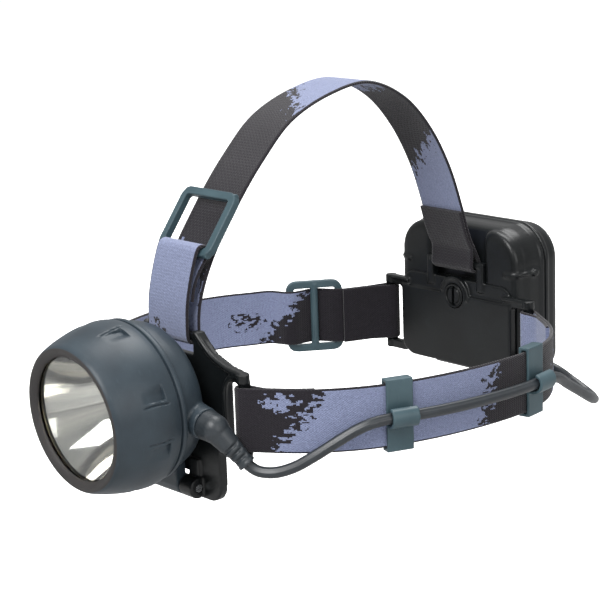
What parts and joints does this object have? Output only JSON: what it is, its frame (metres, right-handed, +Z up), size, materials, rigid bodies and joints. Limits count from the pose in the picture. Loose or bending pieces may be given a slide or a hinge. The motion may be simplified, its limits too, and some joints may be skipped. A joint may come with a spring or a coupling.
{
  "type": "headlamp",
  "caption": "Battery headlamp: twist-focus lamp on a tilting brow mount, elastic head harness with crown strap, rear battery case and clipped power lead.",
  "frame": {"origin": "middle of the wearer's head, level with the middle of the headband", "axes": "+Z up through the crown, -Y the way the wearer looks, +X the wearer's left, where the lead runs"},
  "size_m": [0.1834, 0.2392, 0.1542],
  "materials": {
    "lamp_plastic": "moulded, fine matt texture",
    "black_plastic": "moulded, satin",
    "teal_plastic": "moulded acetal, satin",
    "webbing": "woven elastic webbing, charcoal and blue-grey",
    "rubber": "moulded",
    "grey_rubber": "moulded, satin",
    "pad_foam": "closed-cell foam",
    "reflector": "vacuum metallised",
    "lens": "clear, polished",
    "bulb_glass": "clear",
    "brass": "plated",
    "steel": "bright",
    "cell_jacket": "printed sleeve, plain"
  },
  "bodies": {
    "harness": {"brow_plate": "black_plastic", "brow_pad": "pad_foam", "tilt_pin": "steel", "near_band": "webbing", "far_band": "webbing", "crown_strap": "webbing", "crown_buckle": "teal_plastic", "band_buckle": "teal_plastic", "lead_keeper_front": "teal_plastic", "lead_keeper_rear": "teal_plastic", "harness_plate": "black_plastic", "case_body": "black_plastic", "case_gasket": "rubber", "cover_pin": "steel", "cell_cradle": "black_plastic", "cell_1": "cell_jacket", "cell_2": "cell_jacket", "cell_3": "cell_jacket", "cell_4": "cell_jacket", "cell_spring_1": "steel", "cell_spring_2": "steel", "cell_spring_3": "steel", "cell_spring_4": "steel", "contact_strip_left": "brass", "contact_strip_right": "brass", "lead_gland": "rubber", "power_lead": "grey_rubber"},
    "lamp": {"lamp_housing": "lamp_plastic", "housing_o_ring": "rubber", "bulb_holder": "black_plastic", "bulb_base": "brass", "bulb_glass": "bulb_glass", "bulb_spring": "steel", "lead_plug": "grey_rubber"},
    "optics": {"reflector": "reflector", "lens": "lens", "lens_gasket": "rubber"},
    "bezel": {"bezel": "lamp_plastic"},
    "cover": {"case_cover": "black_plastic"},
    "lock": {"lock_screw": "black_plastic"}
  },
  "joints": [
    {"name": "lamp_tilt", "type": "hinge", "parent": "harness", "child": "lamp", "pos_m": [0, -0.08234, -0.03326], "axis": [1, 0, 0], "range_deg": [0, 45], "deforming": ["power_lead"]},
    {"name": "focus_travel", "type": "slide", "parent": "lamp", "child": "optics", "axis": [0, -0.9976, -0.0698], "range_m": [0, 0.003]},
    {"name": "bezel_turn", "type": "hinge", "parent": "optics", "child": "bezel", "pos_m": [0, -0.11392, 0.00263], "axis": [0, -0.9976, -0.0698], "range_deg": [0, 120]},
    {"name": "cover_hinge", "type": "hinge", "parent": "harness", "child": "cover", "pos_m": [0, 0.0972, -0.023], "axis": [-1, 0, 0], "range_deg": [0, 105]},
    {"name": "lock_turn", "type": "hinge", "parent": "harness", "child": "lock", "pos_m": [0, 0.0779, 0.0135], "axis": [0, -1, 0], "range_deg": [0, 90]}
  ],
  "couplings": [
    {"joint": "focus_travel", "follows": "bezel_turn", "m_per_rad": 0.001432}
  ]
}
